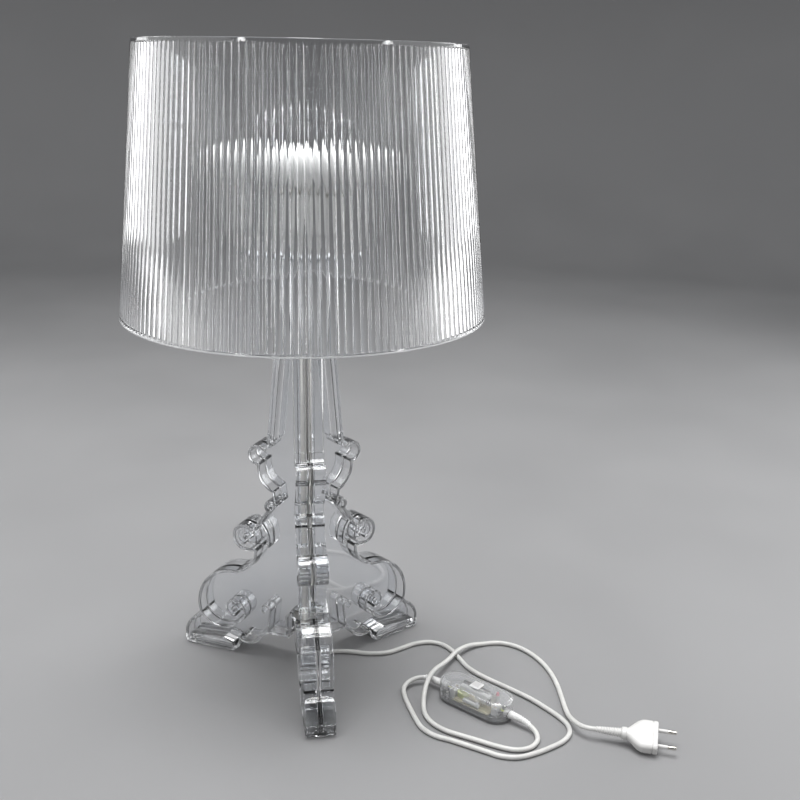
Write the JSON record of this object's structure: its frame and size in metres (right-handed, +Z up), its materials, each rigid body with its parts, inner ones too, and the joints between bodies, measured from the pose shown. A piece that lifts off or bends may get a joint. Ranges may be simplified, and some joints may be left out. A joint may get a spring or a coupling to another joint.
{
  "type": "table lamp",
  "caption": "Clear moulded table lamp with a scrolled three-winged stand, a ribbed conical shade that slides up, angled lampholders and an in-line slide dimmer.",
  "frame": {"origin": "on the floor under the lamp axis, midway between the feet", "axes": "+Z up along the lamp axis, -Y towards the front wing, +X to the right seen from the front"},
  "size_m": [0.5401, 0.4169, 0.672],
  "materials": {
    "clear_shell": "polished, clear moulded polycarbonate",
    "clear_pad": "soft clear pads",
    "zinc_steel": "zinc plated",
    "white_plastic": "semi gloss",
    "lead_sheath": "satin off-white sheath",
    "chrome_metal": "polished",
    "holder_plastic": "semi gloss white",
    "holder_brass": "satin",
    "bulb_metal": "satin",
    "opal_glass": "opal white",
    "clear_spider": "polished, clear",
    "clear_shade": "polished, clear, ribbed outside",
    "clear_dimmer": "polished, clear",
    "circuit_board": "laminate",
    "choke_winding": "lacquered winding",
    "dark_plastic": "moulded",
    "fuse_glass": "glass tube",
    "red_lens": "translucent red",
    "plug_plastic": "semi gloss white",
    "nickel_pin": "nickel plated"
  },
  "bodies": {
    "stand": {"stand_shell_right": "clear_shell", "stand_shell_rear": "clear_shell", "stand_shell_left": "clear_shell", "foot_pads": "clear_pad", "centre_tube": "zinc_steel", "bottom_plate": "zinc_steel", "bottom_washer": "zinc_steel", "bottom_nut": "zinc_steel", "locking_nut": "zinc_steel", "dimmer_screws": "zinc_steel", "cable_gland": "white_plastic", "dimmer_terminals": "white_plastic", "dimmer_slide_pot": "white_plastic", "dimmer_capacitor": "white_plastic", "inner_cable": "lead_sheath", "lead_lamp_to_dimmer": "lead_sheath", "lead_dimmer_to_plug": "lead_sheath", "dimmer_grommets": "lead_sheath", "stand_cap": "chrome_metal", "shade_tube": "chrome_metal", "lamp_carrier": "holder_plastic", "holder_housing_1": "holder_plastic", "holder_housing_2": "holder_plastic", "holder_housing_3": "holder_plastic", "holder_insert_1": "holder_brass", "holder_insert_2": "holder_brass", "holder_insert_3": "holder_brass", "dimmer_base": "clear_dimmer", "dimmer_cover": "clear_dimmer", "dimmer_board": "circuit_board", "dimmer_choke": "choke_winding", "dimmer_triac": "dark_plastic", "dimmer_fuse": "fuse_glass", "dimmer_indicator": "red_lens", "plug_body": "plug_plastic", "plug_relief": "plug_plastic", "pin_sleeves": "plug_plastic", "plug_pins": "nickel_pin"},
    "shade_unit": {"shade_rod": "chrome_metal", "shade_spider": "clear_spider", "spider_rivets": "clear_spider", "spider_washer": "chrome_metal", "shade": "clear_shade"},
    "finial": {"finial_nut": "chrome_metal"},
    "clamp": {"clamp_screw": "chrome_metal"},
    "slider": {"dimmer_slider": "white_plastic"},
    "bulb_1": {"bulb_cap_1": "bulb_metal", "bulb_globe_1": "opal_glass"},
    "bulb_2": {"bulb_cap_2": "bulb_metal", "bulb_globe_2": "opal_glass"},
    "bulb_3": {"bulb_cap_3": "bulb_metal", "bulb_globe_3": "opal_glass"}
  },
  "joints": [
    {"name": "shade_lift", "type": "slide", "parent": "stand", "child": "shade_unit", "axis": [0, 0, 1], "range_m": [0, 0.1]},
    {"name": "finial_turn", "type": "hinge", "parent": "shade_unit", "child": "finial", "pos_m": [0, 0, 0.608], "axis": [0, 0, 1], "continuous": true},
    {"name": "clamp_turn", "type": "hinge", "parent": "stand", "child": "clamp", "pos_m": [0, 0.012, 0.591], "axis": [0, 1, 0], "range_deg": [-360, 0]},
    {"name": "bulb_1_unscrew", "type": "hinge", "parent": "stand", "child": "bulb_1", "pos_m": [0, -0.03024, 0.51634], "axis": [0, -0.2079, 0.9781], "range_deg": [-1170, 0]},
    {"name": "bulb_2_unscrew", "type": "hinge", "parent": "stand", "child": "bulb_2", "pos_m": [0.02619, 0.01512, 0.51634], "axis": [0.1801, 0.104, 0.9781], "range_deg": [-1170, 0]},
    {"name": "bulb_3_unscrew", "type": "hinge", "parent": "stand", "child": "bulb_3", "pos_m": [-0.02619, 0.01512, 0.51634], "axis": [-0.1801, 0.104, 0.9781], "range_deg": [-1170, 0]},
    {"name": "slider_travel", "type": "slide", "parent": "stand", "child": "slider", "axis": [0.6561, -0.7547, 0], "range_m": [-0.01, 0.01]}
  ]
}
